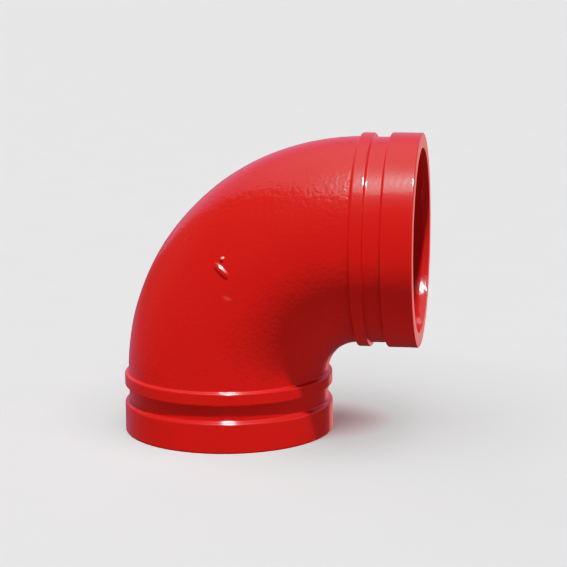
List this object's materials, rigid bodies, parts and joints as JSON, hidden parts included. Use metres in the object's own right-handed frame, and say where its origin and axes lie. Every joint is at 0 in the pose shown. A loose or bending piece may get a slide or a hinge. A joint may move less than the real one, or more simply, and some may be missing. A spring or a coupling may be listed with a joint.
{
  "type": "grooved 90 degree pipe elbow",
  "caption": "Short-radius 90 degree pipe elbow, one red-painted iron casting, with a coupling groove behind the lip at each end and an open bore through it.",
  "frame": {"origin": "middle of the elbow's footprint, on the plane of the lower end face; the two end centrelines cross at x -0.024225, y 0, z 0.1056", "axes": "the lower end faces -Z, the upper end faces +X, and Y is square to the plane of the bend"},
  "size_m": [0.1628, 0.1142, 0.1628],
  "materials": {
    "red_enamel": "gloss"
  },
  "bodies": {
    "root": {"elbow_casting": "red_enamel"}
  },
  "joints": []
}
